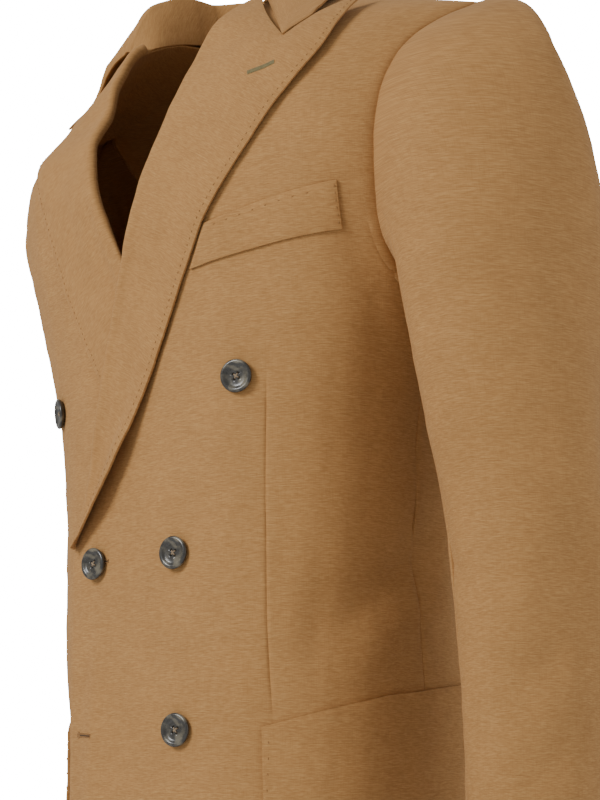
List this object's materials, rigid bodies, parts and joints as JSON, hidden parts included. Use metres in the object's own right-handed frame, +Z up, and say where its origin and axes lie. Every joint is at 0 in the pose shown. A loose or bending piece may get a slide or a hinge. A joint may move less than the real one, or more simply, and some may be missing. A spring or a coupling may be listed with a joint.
{
  "type": "double breasted blazer",
  "caption": "Double breasted wool blazer in its worn shape, with peak lapels, a breast welt, patch hip pockets and horn buttons, hollow and open at neck, hem and cuffs.",
  "frame": {"origin": "where the shoulders and neck carry the coat: level with the neck end of the shoulder seams, midway between them and above the middle of the chest", "axes": "+Z up, -Y out of the front, +X towards the wearer's left"},
  "size_m": [0.6242, 0.3185, 0.791],
  "materials": {
    "camel_cloth": "heathered camel wool cloth with fine uneven crosswise slubs",
    "dark_horn": "dark grey-brown marbled horn, polished"
  },
  "bodies": {
    "root": {"left_front": "camel_cloth", "right_front": "camel_cloth", "left_side_panel": "camel_cloth", "right_side_panel": "camel_cloth", "left_back": "camel_cloth", "right_back": "camel_cloth", "left_top_sleeve": "camel_cloth", "right_top_sleeve": "camel_cloth", "left_under_sleeve": "camel_cloth", "right_under_sleeve": "camel_cloth", "left_lapel": "camel_cloth", "right_lapel": "camel_cloth", "collar": "camel_cloth", "breast_welt": "camel_cloth", "left_hip_pocket": "camel_cloth", "right_hip_pocket": "camel_cloth", "button_left_top": "dark_horn", "button_left_middle": "dark_horn", "button_left_lower": "dark_horn", "button_right_top": "dark_horn", "button_right_middle": "dark_horn"}
  },
  "joints": []
}
